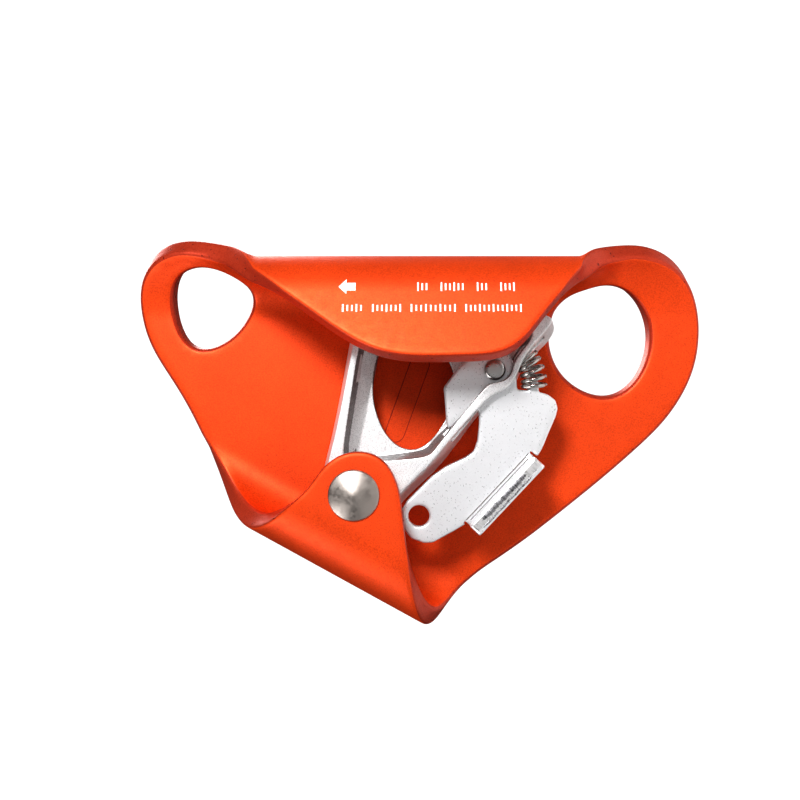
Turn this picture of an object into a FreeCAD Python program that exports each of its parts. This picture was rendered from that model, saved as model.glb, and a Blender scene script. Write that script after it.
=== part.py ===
import FreeCAD, Part
import math
import os

# Rope grab: a folded aluminium plate with a rope channel, a toothed cam on a rivet and a safety catch.
# Millimetres. +Z is the direction of travel up the rope, +X the rope side, -Y the front.
# The origin is the centre of the lower attachment hole, halfway through the plate.

V = FreeCAD.Vector
V2 = FreeCAD.Base.Vector2d

# ---- driving dimensions: body plate ----
SHEET = 4.0
CHANNEL_START = 4.55
CHANNEL_RADIUS = 9.8
CHANNEL_ANGLE = 159.0
UPPER_FLARE_RADIUS = 18.8
UPPER_FLARE_START = 67.5
UPPER_FLARE_WIDTH = 18.0
LOWER_FLARE_RADIUS = 17.8
LOWER_FLARE_START = 5.0
LOWER_FLARE_WIDTH = 13.0
EAR_FOLD_RADIUS = 9.0
EAR_FOLD_TILT = 28.8
EAR_FOLD_Z = 56.4
EAR_FOLD_X = -31.5

# ---- driving dimensions: pivot ----
PIVOT_Z = 48.3
PIVOT_X = -29.8
RIVET_RADIUS = 2.5
RIVET_HOLE_RADIUS = 2.55
RIVET_DOME_RADIUS = 4.85
RIVET_DOME_HEIGHT = 1.9
RIVET_TAIL_RADIUS = 4.0
RIVET_TAIL_HEIGHT = 1.3
BACK_WASHER_RADIUS = 4.9
BACK_WASHER_THICKNESS = 0.8
BUSH_RADIUS = 3.6

# ---- driving dimensions: cam ----
CAM_BACK = 1.0
CAM_FRONT = 12.8
WEB_BACK = 3.0
WEB_FRONT = 6.0
CAM_BORE_RADIUS = 3.65
HUB_RECESS_RADIUS = 6.0
HUB_RECESS_DEPTH = 5.2
POCKET_STEP_DEPTH = 9.0
POCKET_STEP = 0.75
TOOTH_HEIGHT = 1.0
TOOTH_RADIUS = 0.75

# ---- driving dimensions: catch ----
CATCH_BACK = 8.0
CATCH_FRONT = 10.4
CATCH_PIN_Z = 21.4
CATCH_PIN_X = -5.9
CATCH_PIN_RADIUS = 1.6
CATCH_BORE_RADIUS = 1.65
CATCH_HEAD_RADIUS = 2.15
CATCH_HEAD_HEIGHT = 1.3
CATCH_SLOT_RADIUS = 16.3
TAB_HEIGHT = 7.0
CORD_HOLE_Z = 36.1
CORD_HOLE_X = -34.3
CORD_HOLE_RADIUS = 2.05

# ---- driving dimensions: springs ----
CAM_SPRING_RADIUS = 4.85
CAM_SPRING_WIRE = 0.5
CATCH_SPRING_RADIUS = 2.0
CATCH_SPRING_WIRE = 0.4
CATCH_SPRING_TOP = (13.7, -3.8)
CATCH_SPRING_END = (13.5, -9.75)

# Depths are measured from the front face of the plate towards the front.
FRONT = SHEET / 2
EAR_INNER = 2 * EAR_FOLD_RADIUS - SHEET
EAR_OUTER = EAR_INNER + SHEET

# Flat pattern of the plate before folding: control points, distance up the rope and across it.
LOWER_EDGE = [(24.1, -46.3), (20.2, -43.8), (13.7, -39.3), (6.5, -33.6), (-1.2, -27.4),
              (-7.5, -21.9), (-13.2, -16.6), (-17.3, -10.8), (-19.8, -5.0)]
LOWER_RING = [(-20.7, 1.0), (-20.4, 7.0), (-18.3, 12.9), (-14.1, 17.5), (-8.6, 19.9),
              (-3.2, 19.8), (0.9, 21.0), (4.6, 26.4), (8.8, 31.4)]
CHANNEL_LIP = [(12.6, 36.1), (16.6, 42.1), (21.4, 44.9), (29.0, 45.0), (37.0, 45.3),
               (44.2, 44.1), (51.0, 40.0), (58.0, 34.5), (64.4, 29.8)]
UPPER_RING = [(69.4, 26.0), (73.0, 21.6), (77.6, 20.7), (83.2, 21.0), (88.8, 18.6),
              (92.6, 12.6), (92.6, 5.4), (90.4, -1.4), (86.0, -7.8)]
UPPER_EDGE = [(82.4, -13.8), (79.4, -20.2)]
# The ear, from the upper edge round the lobe to the lower edge: along the fold, across the fold.
EAR_EDGE = [(-18.0, 6.4), (-13.2, 11.4), (-9.4, 15.4), (-6.4, 20.0), (-4.0, 25.2), (-1.6, 30.4),
            (-1.6, 36.2), (1.4, 40.8), (6.8, 43.0), (12.2, 40.2), (16.0, 35.0), (19.6, 29.8),
            (23.6, 25.2), (28.2, 19.6), (31.6, 13.6), (32.8, 8.0), (33.6, 2.4)]
UPPER_HOLE = [(86.6, 8.6), (84.6, 14.8), (79.2, 17.2), (73.4, 16.8), (69.6, 12.4), (69.2, 7.6),
              (71.8, 2.4), (76.4, -1.2), (81.2, -2.0), (84.6, 1.0)]
LOWER_HOLE = [(10.8, 1.2), (8.8, 7.8), (3.8, 12.2), (-2.2, 13.0), (-7.6, 9.8), (-10.8, 4.4),
              (-10.6, -2.6), (-7.6, -8.8), (-2.6, -11.8), (3.2, -10.6), (8.6, -6.2)]

# Cam outlines at its back and at its front, same number of control points.
CAM_OUTLINE_BACK = [(48.4, 5.6), (44.0, 7.6), (37.0, 8.8), (30.0, 8.8), (22.0, 7.6), (15.5, 5.8),
                    (9.2, 4.6), (8.6, 2.0), (11.0, -1.0), (15.2, -4.8), (16.4, -7.8), (18.4, -11.4),
                    (22.4, -12.4), (26.4, -17.6), (30.0, -22.6), (33.2, -26.4), (37.0, -29.6),
                    (40.6, -33.6), (45.0, -37.0), (51.0, -37.4), (55.8, -33.4), (55.8, -27.0),
                    (53.8, -20.0), (51.4, -8.0), (49.8, 2.0)]
CAM_OUTLINE_FRONT = [(46.8, 4.6), (43.6, 6.6), (37.0, 8.3), (30.0, 8.3), (22.0, 7.1), (15.5, 5.3),
                     (10.6, 4.4), (10.2, 3.2), (12.6, 0.6), (16.2, -3.6), (17.0, -6.6), (18.9, -9.7),
                     (22.0, -10.2), (26.0, -14.8), (30.2, -19.4), (33.6, -23.8), (37.4, -27.2),
                     (41.4, -31.6), (45.4, -35.6), (50.8, -36.2), (54.4, -33.0), (54.6, -27.2),
                     (52.4, -20.0), (50.2, -9.0), (48.6, 0.0)]
# Pocket outlines at the web and at the front, same number of control points.
POCKET_BACK = [(43.6, 2.6), (38.0, 4.6), (30.0, 4.8), (22.0, 3.6), (17.4, 2.4), (15.2, 1.2),
               (15.4, -0.2), (17.0, -2.4), (18.2, -4.4), (18.5, -6.2), (19.2, -7.2), (20.6, -8.0),
               (22.4, -8.2), (23.6, -9.5), (28.7, -15.4), (32.6, -18.7), (34.0, -20.6),
               (35.2, -21.7), (39.9, -22.4), (45.4, -23.0), (47.4, -23.2), (48.3, -22.6),
               (48.3, -21.2), (47.0, -16.0), (45.0, -7.0), (43.9, -1.0)]
POCKET_FRONT = [(46.2, 3.2), (39.0, 5.6), (30.0, 5.8), (22.0, 4.8), (16.6, 3.4), (14.0, 1.8),
                (14.3, 0.0), (16.4, -2.5), (17.8, -4.6), (18.1, -6.4), (18.9, -7.6), (20.4, -8.4),
                (22.6, -8.6), (23.8, -9.9), (29.1, -16.4), (32.4, -20.5), (33.6, -22.2),
                (35.0, -22.9), (39.7, -23.3), (46.4, -23.8), (49.2, -23.9), (50.5, -23.2),
                (50.7, -21.4), (49.9, -16.0), (48.6, -7.0), (47.4, 0.0)]
WINDOW = [(42.6, 1.4), (44.6, -3.4), (45.5, -9.2), (44.9, -14.0), (42.8, -18.9), (39.6, -21.6),
          (36.2, -21.8), (33.4, -19.6), (31.2, -16.4), (29.2, -12.4), (28.8, -7.6), (30.6, -2.4),
          (36.4, 2.4)]
CROWN = [(44.0, 6.7), (37.0, 8.2), (30.0, 8.3), (22.0, 7.1), (14.0, 5.0)]

# Catch sheet before the thumb tab is turned up.
CATCH_SHEET = [(31.3, -9.3), (30.6, -18.0), (27.2, -14.6), (24.4, -13.2), (24.4, -16.3),
               (24.7, -19.6), (25.4, -21.7), (27.0, -22.9), (31.0, -24.8), (33.6, -26.6),
               (36.4, -29.4), (38.4, -31.4), (39.7, -33.6), (39.3, -36.6), (37.6, -38.7),
               (35.1, -39.6), (33.4, -39.5), (31.6, -38.5), (29.4, -37.3), (27.2, -36.2),
               (14.4, -22.3), (13.0, -22.8), (10.9, -18.2), (9.5, -15.0), (9.1, -13.4),
               (9.6, -11.8), (11.1, -10.7), (12.8, -10.2), (12.9, -8.2), (14.4, -7.8),
               (14.8, -9.9), (17.0, -9.8), (17.2, -5.9), (18.4, -2.9), (21.4, -1.7), (24.6, -2.4),
               (28.4, -5.4)]
TAB_START = (26.9, -35.5)
TAB_END = (14.4, -22.2)

FOLD_ALONG = (-math.cos(math.radians(EAR_FOLD_TILT)), -math.sin(math.radians(EAR_FOLD_TILT)))
FOLD_ACROSS = (math.sin(math.radians(EAR_FOLD_TILT)), -math.cos(math.radians(EAR_FOLD_TILT)))


def smooth(x):
    x = min(max(x, 0.0), 1.0)
    return x * x * (3 - 2 * x)


def channel_radius(q):
    upper = smooth((q - UPPER_FLARE_START) / UPPER_FLARE_WIDTH)
    lower = smooth((LOWER_FLARE_START - q) / LOWER_FLARE_WIDTH)
    return (CHANNEL_RADIUS + (UPPER_FLARE_RADIUS - CHANNEL_RADIUS) * upper
            + (LOWER_FLARE_RADIUS - CHANNEL_RADIUS) * lower)


def channel_point(q, s):
    """Middle surface of the sheet after the channel is rolled; q up the rope, s across the sheet."""
    if s <= CHANNEL_START:
        return V(s, 0, q)
    radius = channel_radius(q)
    turn = math.radians(CHANNEL_ANGLE)
    angle = min((s - CHANNEL_START) / radius, turn)
    rest = max(s - CHANNEL_START - radius * turn, 0.0)
    x = CHANNEL_START + radius * math.sin(angle) + rest * math.cos(turn)
    depth = radius * (1 - math.cos(angle)) + rest * math.sin(turn)
    return V(x, -depth, q)


def fold_point(u, w):
    """Middle surface of the ear; u along the fold line, w across it from where the fold starts."""
    angle = min(max(w / EAR_FOLD_RADIUS, 0.0), math.pi)
    rest = max(w - EAR_FOLD_RADIUS * math.pi, 0.0)
    out = EAR_FOLD_RADIUS * math.sin(angle) - rest
    if w < 0:
        out = w
    z = EAR_FOLD_Z + FOLD_ALONG[0] * u + FOLD_ACROSS[0] * out
    x = EAR_FOLD_X + FOLD_ALONG[1] * u + FOLD_ACROSS[1] * out
    return V(x, -EAR_FOLD_RADIUS * (1 - math.cos(angle)), z)


def offset_point(point, a, b, offset):
    step = 0.001
    da = point(a + step, b) - point(a - step, b)
    db = point(a, b + step) - point(a, b - step)
    normal = db.cross(da)
    normal.normalize()
    return point(a, b) - normal * offset


def stations(start, end, spacing):
    """Knots, multiplicities and pole positions of a cubic strip from start to end."""
    spans = int(round((end - start) / spacing))
    step = (end - start) / spans
    knots = [start + step * i for i in range(spans + 1)]
    mults = [4] + [1] * (spans - 1) + [4]
    flat = [start] * 3 + knots + [end] * 3
    poles = [(flat[i + 1] + flat[i + 2] + flat[i + 3]) / 3 for i in range(spans + 3)]
    return knots, mults, poles


def sheet_surface(point, a_range, b_range, offset):
    ka, ma, pa = stations(*a_range)
    kb, mb, pb = stations(*b_range)
    poles = [[offset_point(point, a, b, offset) for b in pb] for a in pa]
    surface = Part.BSplineSurface()
    surface.buildFromPolesMultsKnots(poles, ma, mb, ka, kb, False, False, 3, 3)
    return surface


def closed_curve(points):
    curve = Part.Geom2d.BSplineCurve2d()
    curve.buildFromPoles([V2(a, b) for a, b in points], True, 3)
    return curve


def slab(lower, upper):
    a0, a1, b0, b1 = lower.bounds()
    faces = [lower.toShape(), upper.toShape()]
    for a in (a0, a1):
        faces.append(Part.makeRuledSurface(lower.uIso(a).toShape(), upper.uIso(a).toShape(), 1))
    for b in (b0, b1):
        faces.append(Part.makeRuledSurface(lower.vIso(b).toShape(), upper.vIso(b).toShape(), 1))
    shell = Part.makeShell(faces)
    shell.sewShape(0.001)
    return Part.Solid(shell.Shells[0])


def cut_sheet(point, a_range, b_range, outline, holes, inside):
    """Sheet of the given middle surface, cut square to its face along an outline and holes."""
    sheet = slab(sheet_surface(point, a_range, b_range, -SHEET / 2),
                 sheet_surface(point, a_range, b_range, SHEET / 2))
    low = sheet_surface(point, a_range, b_range, -SHEET / 2 - 1)
    high = sheet_surface(point, a_range, b_range, SHEET / 2 + 1)
    walls = []
    for points in [outline] + holes:
        curve = closed_curve(points)
        walls.append(Part.makeShell([Part.makeRuledSurface(curve.toShape(low), curve.toShape(high), 1)]))
    pieces, history = sheet.generalFuse(walls)
    return [p for p in pieces.Solids if p.isInside(inside, 0.01, True)][0]


def to_fold(point):
    dz = point[0] - EAR_FOLD_Z
    dx = point[1] - EAR_FOLD_X
    return (dz * FOLD_ALONG[0] + dx * FOLD_ALONG[1], dz * FOLD_ACROSS[0] + dx * FOLD_ACROSS[1])


def from_fold(point):
    return (EAR_FOLD_Z + point[0] * FOLD_ALONG[0] + point[1] * FOLD_ACROSS[0],
            EAR_FOLD_X + point[0] * FOLD_ALONG[1] + point[1] * FOLD_ACROSS[1])


def place(z, x, depth):
    """Point at a height up the rope, a distance across it and a depth in front of the plate."""
    return V(x, -FRONT - depth, z)


def spline_wire(points, depth):
    curve = Part.BSplineCurve()
    curve.buildFromPoles([place(z, x, depth) for z, x in points], True, 3)
    return Part.Wire([curve.toShape()])


def loft(points_back, depth_back, points_front, depth_front):
    return Part.makeLoft([spline_wire(points_back, depth_back),
                          spline_wire(points_front, depth_front)], True, True)


def prism(points, back, front):
    """Straight-sided block between two depths."""
    corners = [place(z, x, back) for z, x in points]
    face = Part.Face(Part.makePolygon(corners + corners[:1]))
    return face.extrude(V(0, back - front, 0))


def bar(radius, z, x, back, front):
    """Round bar along the depth."""
    return Part.makeCylinder(radius, front - back, place(z, x, front), V(0, 1, 0))


def dome(radius, height, z, x, depth):
    """Low dome standing on a face at the given depth."""
    ball = (radius * radius + height * height) / (2 * height)
    cap = Part.makeSphere(ball, place(z, x, depth + height - ball))
    return cap.common(bar(radius, z, x, depth, depth + height))


def body_plate():
    main = LOWER_EDGE + LOWER_RING + CHANNEL_LIP + UPPER_RING + UPPER_EDGE
    outline = main + [from_fold(p) for p in EAR_EDGE]
    flat = cut_sheet(channel_point, (-30, 110, 2.5), (-90, 50, 1.75), outline,
                     [UPPER_HOLE, LOWER_HOLE], V(-20, 0, 40))
    beyond_fold = [from_fold(p) for p in ((-150, 0), (150, 0), (150, 150), (-150, 150))]
    flat = flat.cut(prism(beyond_fold, -20, 40))
    ear_outline = [to_fold(p) for p in main] + EAR_EDGE
    ear = cut_sheet(fold_point, (-40, 50, 5.0), (-6, 50, 1.0), ear_outline, [],
                    fold_point(6, 34))
    ear = ear.common(prism(beyond_fold, -20, 40).fuse(prism(
        [from_fold(p) for p in ((-150, -60), (150, -60), (150, 0), (-150, 0))], 6, 40)))
    plate = flat.fuse(ear)
    plate = plate.cut(bar(RIVET_HOLE_RADIUS, PIVOT_Z, PIVOT_X, -SHEET - 1, EAR_OUTER + 1))
    spring_hole = bar(CAM_SPRING_WIRE + 0.1, PIVOT_Z, PIVOT_X + CAM_SPRING_RADIUS, -SHEET - 1, 1)
    return plate.cut(spring_hole)


def teeth():
    """Rows of small pointed teeth on the crown, leaning down the rope."""
    crown = Part.BSplineCurve()
    crown.interpolate([place(z, x, 0) for z, x in CROWN])
    cones = []
    rows = 11
    for i in range(rows):
        at = crown.FirstParameter + (crown.LastParameter - crown.FirstParameter) * (i + 0.5) / rows
        point = crown.value(at)
        along = crown.tangent(at)[0]
        out = V(-along.z, 0, along.x)
        if out.x < 0:
            out = out * -1
        lean = out * math.cos(math.radians(15)) - V(0, 0, 1) * math.sin(math.radians(15))
        columns = 4
        if i % 2 == 1:
            columns = 3
        for j in range(columns):
            depth = 8.2 + (j - (columns - 1) / 2) * 2.3
            base = point - out * 0.6 - V(0, depth, 0)
            cones.append(Part.makeCone(TOOTH_RADIUS, 0.12, TOOTH_HEIGHT + 0.6, base, lean))
    return cones


def cam():
    shape = loft(CAM_OUTLINE_BACK, CAM_BACK, CAM_OUTLINE_FRONT, CAM_FRONT)
    # The back corner of the crown clears the rolled channel.
    corner = Part.Face(Part.makePolygon([V(2.6, -FRONT, -20), V(14, -FRONT, -20),
                                         V(14, -FRONT - 5.6, -20), V(2.6, -FRONT - 0.8, -20),
                                         V(2.6, -FRONT, -20)]))
    shape = shape.cut(corner.extrude(V(0, 0, 100)))
    # The pocket wall is steep near the front and slopes out to the web below its step.
    step = [(a[0] + (b[0] - a[0]) * POCKET_STEP, a[1] + (b[1] - a[1]) * POCKET_STEP)
            for a, b in zip(POCKET_BACK, POCKET_FRONT)]
    shape = shape.cut(loft(step, POCKET_STEP_DEPTH, POCKET_FRONT, CAM_FRONT + 0.01))
    shape = shape.cut(loft(POCKET_BACK, WEB_FRONT, step, POCKET_STEP_DEPTH))
    hollow = loft(POCKET_BACK, CAM_BACK - 0.01, POCKET_BACK, WEB_BACK)
    shape = shape.cut(hollow)
    shape = shape.fuse(bar(3.6, CATCH_PIN_Z, CATCH_PIN_X, WEB_BACK, CATCH_BACK - 0.15))
    shape = shape.cut(loft(WINDOW, WEB_BACK - 1, WINDOW, WEB_FRONT + 0.5))
    # Slot through the diagonal wall where the catch sheet swings.
    slot = bar(CATCH_SLOT_RADIUS, CATCH_PIN_Z, CATCH_PIN_X, CATCH_BACK - 0.15, CATCH_FRONT + 0.2)
    slot = slot.cut(prism([(-20, -1.2), (60, -1.2), (60, 40), (-20, 40)], 0, 20))
    shape = shape.cut(slot)
    shape = shape.cut(bar(4.7, CATCH_PIN_Z, CATCH_PIN_X, CATCH_BACK - 0.15, CATCH_FRONT + 0.2))
    # Bores for the catch pin and the pivot bush, and the spring recess behind the hub.
    shape = shape.cut(bar(CATCH_PIN_RADIUS, CATCH_PIN_Z, CATCH_PIN_X, 0, CATCH_FRONT))
    shape = shape.cut(bar(CATCH_HEAD_RADIUS + 0.15, CATCH_PIN_Z, CATCH_PIN_X, CATCH_FRONT, CAM_FRONT + 1))
    shape = shape.cut(bar(3.2, CATCH_PIN_Z, CATCH_PIN_X, 0, WEB_BACK))
    shape = shape.cut(bar(CAM_BORE_RADIUS, PIVOT_Z, PIVOT_X, 0, CAM_FRONT + 1))
    shape = shape.cut(bar(HUB_RECESS_RADIUS, PIVOT_Z, PIVOT_X, CAM_BACK - 1, HUB_RECESS_DEPTH))
    shape = shape.cut(bar(CAM_SPRING_WIRE + 0.1, PIVOT_Z, PIVOT_X - CAM_SPRING_RADIUS,
                          HUB_RECESS_DEPTH - 1, HUB_RECESS_DEPTH + 4))
    # Teeth, then the mud slots through the toothed wall.
    shape = shape.fuse(teeth())
    for z, length in ((36.0, 7.0), (24.0, 5.0)):
        block = Part.makeBox(12, 2.4, length, V(0, -FRONT - 9.4, z - length / 2))
        shape = shape.cut(block)
    tip_slot = Part.makeBox(12, 2.4, 3.0, V(-5, -FRONT - 9.4, 11.6))
    tip_slot.rotate(V(0, 0, 13.0), V(0, 1, 0), -30)
    shape = shape.cut(tip_slot)
    return shape


def catch():
    sheet = prism(CATCH_SHEET, CATCH_BACK, CATCH_FRONT)
    dz = TAB_END[0] - TAB_START[0]
    dx = TAB_END[1] - TAB_START[1]
    length = math.hypot(dz, dx)
    out = (dx / length, -dz / length)
    if out[1] > 0:
        out = (-out[0], -out[1])
    thick = CATCH_FRONT - CATCH_BACK
    # Thumb tab: a quarter bend and then straight towards the front.
    bend = 0.8
    def shifted(point, distance):
        return (point[0] + out[0] * distance, point[1] + out[1] * distance)
    tab = prism([TAB_START, TAB_END, shifted(TAB_END, bend + thick), shifted(TAB_START, bend + thick)],
                CATCH_BACK, CATCH_FRONT + bend)
    upright = prism([shifted(TAB_START, bend), shifted(TAB_END, bend),
                     shifted(TAB_END, bend + thick), shifted(TAB_START, bend + thick)],
                    CATCH_FRONT, CATCH_BACK + TAB_HEIGHT)
    axis = V(dx, 0, dz)
    inner = Part.makeCylinder(bend, length + 2, place(TAB_START[0] - dz / length, TAB_START[1] - dx / length,
                                                      CATCH_FRONT + bend), axis)
    roll = Part.makeCylinder(bend + thick, length, place(TAB_START[0], TAB_START[1],
                                                         CATCH_FRONT + bend), axis)
    tab = tab.common(roll).cut(inner)
    shape = sheet.fuse([tab, upright])
    shape = shape.cut(bar(CATCH_BORE_RADIUS, CATCH_PIN_Z, CATCH_PIN_X, 0, 20))
    shape = shape.cut(bar(CORD_HOLE_RADIUS, CORD_HOLE_Z, CORD_HOLE_X, 0, 20))
    return shape.removeSplitter()


def catch_pin():
    shape = bar(CATCH_PIN_RADIUS, CATCH_PIN_Z, CATCH_PIN_X, 1.2, CATCH_FRONT + 0.1)
    face = CATCH_FRONT + 0.1 + CATCH_HEAD_HEIGHT
    head = bar(CATCH_HEAD_RADIUS, CATCH_PIN_Z, CATCH_PIN_X, CATCH_FRONT + 0.1, face)
    head = head.makeChamfer(0.35, [e for e in head.Edges if e.BoundBox.YMax < -FRONT - face + 0.1])
    tail = bar(2.3, CATCH_PIN_Z, CATCH_PIN_X, 1.2, WEB_BACK - 0.6)
    return shape.fuse([head, tail])


def catch_pin_washer():
    ring = bar(3.0, CATCH_PIN_Z, CATCH_PIN_X, WEB_BACK - 0.6, WEB_BACK)
    return ring.cut(bar(CATCH_PIN_RADIUS, CATCH_PIN_Z, CATCH_PIN_X, 0, 5))


def pivot_rivet():
    back = -SHEET - BACK_WASHER_THICKNESS
    shank = bar(RIVET_RADIUS, PIVOT_Z, PIVOT_X, back, EAR_OUTER)
    head = dome(RIVET_DOME_RADIUS, RIVET_DOME_HEIGHT, PIVOT_Z, PIVOT_X, EAR_OUTER)
    tail = bar(RIVET_TAIL_RADIUS, PIVOT_Z, PIVOT_X, back - RIVET_TAIL_HEIGHT, back)
    rear = -FRONT - back + RIVET_TAIL_HEIGHT
    tail = tail.makeChamfer(0.5, [e for e in tail.Edges if e.BoundBox.YMin > rear - 0.1])
    return shank.fuse([head, tail])


def pivot_washer():
    ring = bar(BACK_WASHER_RADIUS, PIVOT_Z, PIVOT_X, -SHEET - BACK_WASHER_THICKNESS, -SHEET)
    return ring.cut(bar(RIVET_RADIUS, PIVOT_Z, PIVOT_X, -SHEET - 2, 0))


def pivot_bush():
    tube = bar(BUSH_RADIUS, PIVOT_Z, PIVOT_X, 0, EAR_INNER)
    return tube.cut(bar(RIVET_RADIUS, PIVOT_Z, PIVOT_X, -1, EAR_INNER + 1))


def coil(radius, wire, pitch, height, start, axis):
    """Round-wire coil standing on start along axis."""
    helix = Part.makeHelix(pitch, height, radius)
    ring = Part.Wire([Part.makeCircle(wire, V(radius, 0, 0), V(0, 1, pitch / (2 * math.pi * radius)))])
    shape = Part.Wire(helix).makePipeShell([ring], True, True)
    turn = FreeCAD.Rotation(V(0, 0, 1), axis)
    shape.Placement = FreeCAD.Placement(start, turn)
    return shape


def cam_spring():
    """Torsion spring round the bush: one leg in the plate, one in the cam."""
    low = 0.7
    high = HUB_RECESS_DEPTH - 0.8
    shape = coil(CAM_SPRING_RADIUS, CAM_SPRING_WIRE, (high - low) / 3.5, high - low,
                 place(PIVOT_Z, PIVOT_X, low), V(0, -1, 0))
    leg_plate = bar(CAM_SPRING_WIRE, PIVOT_Z, PIVOT_X + CAM_SPRING_RADIUS, -2.5, low)
    leg_cam = bar(CAM_SPRING_WIRE, PIVOT_Z, PIVOT_X - CAM_SPRING_RADIUS, high, HUB_RECESS_DEPTH + 2)
    return shape.fuse([leg_plate, leg_cam])


def catch_spring():
    """Compression spring between the tip of the cam and the top edge of the catch."""
    start = place(CATCH_SPRING_TOP[0], CATCH_SPRING_TOP[1], (CATCH_BACK + CATCH_FRONT) / 2)
    end = place(CATCH_SPRING_END[0], CATCH_SPRING_END[1], (CATCH_BACK + CATCH_FRONT) / 2)
    axis = end - start
    length = axis.Length
    return coil(CATCH_SPRING_RADIUS, CATCH_SPRING_WIRE, length / 5.2,
                length - 2 * CATCH_SPRING_WIRE, start + axis * (CATCH_SPRING_WIRE / length), axis)


def export(shape, name):
    shape.exportStep("parts/" + name + ".step")


os.makedirs("parts", exist_ok=True)
export(body_plate(), "body_plate")
export(cam(), "cam")
export(catch(), "catch")
export(catch_pin(), "catch_pin")
export(catch_pin_washer(), "catch_pin_washer")
export(catch_spring(), "catch_spring")
export(pivot_rivet(), "pivot_rivet")
export(pivot_washer(), "pivot_washer")
export(pivot_bush(), "pivot_bush")
export(cam_spring(), "cam_spring")
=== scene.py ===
import math

import bmesh
import bpy
import numpy as np
from mathutils import Matrix, Vector
from mathutils.bvhtree import BVHTree
from mathutils.geometry import delaunay_2d_cdt


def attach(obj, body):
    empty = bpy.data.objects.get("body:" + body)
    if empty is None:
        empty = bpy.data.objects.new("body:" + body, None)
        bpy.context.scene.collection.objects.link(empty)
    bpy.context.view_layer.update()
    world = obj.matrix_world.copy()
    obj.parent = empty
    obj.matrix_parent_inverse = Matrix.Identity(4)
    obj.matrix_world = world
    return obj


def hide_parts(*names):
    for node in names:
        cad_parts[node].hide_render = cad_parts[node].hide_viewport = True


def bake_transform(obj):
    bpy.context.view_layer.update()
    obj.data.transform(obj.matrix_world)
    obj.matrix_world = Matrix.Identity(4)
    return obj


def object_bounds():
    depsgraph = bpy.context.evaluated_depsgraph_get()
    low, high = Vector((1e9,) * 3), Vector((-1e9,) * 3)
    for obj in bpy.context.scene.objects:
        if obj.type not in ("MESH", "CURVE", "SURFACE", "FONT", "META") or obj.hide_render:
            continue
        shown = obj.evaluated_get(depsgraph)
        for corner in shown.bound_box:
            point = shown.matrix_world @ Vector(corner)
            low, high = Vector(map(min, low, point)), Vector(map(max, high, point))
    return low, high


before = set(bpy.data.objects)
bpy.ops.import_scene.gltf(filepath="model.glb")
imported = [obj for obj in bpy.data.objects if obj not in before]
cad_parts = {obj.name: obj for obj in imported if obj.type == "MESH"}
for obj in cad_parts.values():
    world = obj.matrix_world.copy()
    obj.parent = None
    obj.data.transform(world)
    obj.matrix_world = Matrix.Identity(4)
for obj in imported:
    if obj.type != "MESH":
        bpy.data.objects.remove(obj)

CAD_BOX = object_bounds()
MM = 0.001

# ---------------------------------------------------------------- the folded plate's flat pattern
SHEET = 4.0
CHANNEL_START = 4.55
CHANNEL_RADIUS = 9.8
CHANNEL_TURN = math.radians(159.0)
# Each flare: its radius, where it starts up the rope, and the width it grows over.
UPPER_FLARE = (18.8, 67.5, 18.0)
LOWER_FLARE = (17.8, 5.0, 13.0)
FOLD_RADIUS = 9.0
FOLD_TILT = math.radians(28.8)
FOLD_Z, FOLD_X = 56.4, -31.5
FRONT = SHEET / 2
EAR_OUTER = 2 * FOLD_RADIUS
ALONG = np.array((-math.cos(FOLD_TILT), -math.sin(FOLD_TILT)))
ACROSS = np.array((math.sin(FOLD_TILT), -math.cos(FOLD_TILT)))

LOWER_EDGE = [(24.1, -46.3), (20.2, -43.8), (13.7, -39.3), (6.5, -33.6), (-1.2, -27.4),
              (-7.5, -21.9), (-13.2, -16.6), (-17.3, -10.8), (-19.8, -5.0)]
LOWER_RING = [(-20.7, 1.0), (-20.4, 7.0), (-18.3, 12.9), (-14.1, 17.5), (-8.6, 19.9),
              (-3.2, 19.8), (0.9, 21.0), (4.6, 26.4), (8.8, 31.4)]
CHANNEL_LIP = [(12.6, 36.1), (16.6, 42.1), (21.4, 44.9), (29.0, 45.0), (37.0, 45.3),
               (44.2, 44.1), (51.0, 40.0), (58.0, 34.5), (64.4, 29.8)]
UPPER_RING = [(69.4, 26.0), (73.0, 21.6), (77.6, 20.7), (83.2, 21.0), (88.8, 18.6),
              (92.6, 12.6), (92.6, 5.4), (90.4, -1.4), (86.0, -7.8)]
UPPER_EDGE = [(82.4, -13.8), (79.4, -20.2)]
EAR_EDGE = [(-18.0, 6.4), (-13.2, 11.4), (-9.4, 15.4), (-6.4, 20.0), (-4.0, 25.2), (-1.6, 30.4),
            (-1.6, 36.2), (1.4, 40.8), (6.8, 43.0), (12.2, 40.2), (16.0, 35.0), (19.6, 29.8),
            (23.6, 25.2), (28.2, 19.6), (31.6, 13.6), (32.8, 8.0), (33.6, 2.4)]
UPPER_HOLE = [(86.6, 8.6), (84.6, 14.8), (79.2, 17.2), (73.4, 16.8), (69.6, 12.4), (69.2, 7.6),
              (71.8, 2.4), (76.4, -1.2), (81.2, -2.0), (84.6, 1.0)]
LOWER_HOLE = [(10.8, 1.2), (8.8, 7.8), (3.8, 12.2), (-2.2, 13.0), (-7.6, 9.8), (-10.8, 4.4),
              (-10.6, -2.6), (-7.6, -8.8), (-2.6, -11.8), (3.2, -10.6), (8.6, -6.2)]

PIVOT = (48.3, -29.8)
RIVET_RADIUS = 2.5
RIVET_HOLE = RIVET_RADIUS + 0.05
RIVET_BACK = -SHEET - 0.8
CATCH_PIN = (21.4, -5.9)
CATCH_BORE = 1.65
CORD_HOLE = (36.1, -34.3)
CORD_HOLE_RADIUS = 2.05
PRINT_LIFT = 0.03
SCRIBE_LIFT = 0.012


def smooth(x):
    x = np.clip(x, 0, 1)
    return x * x * (3 - 2 * x)


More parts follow.
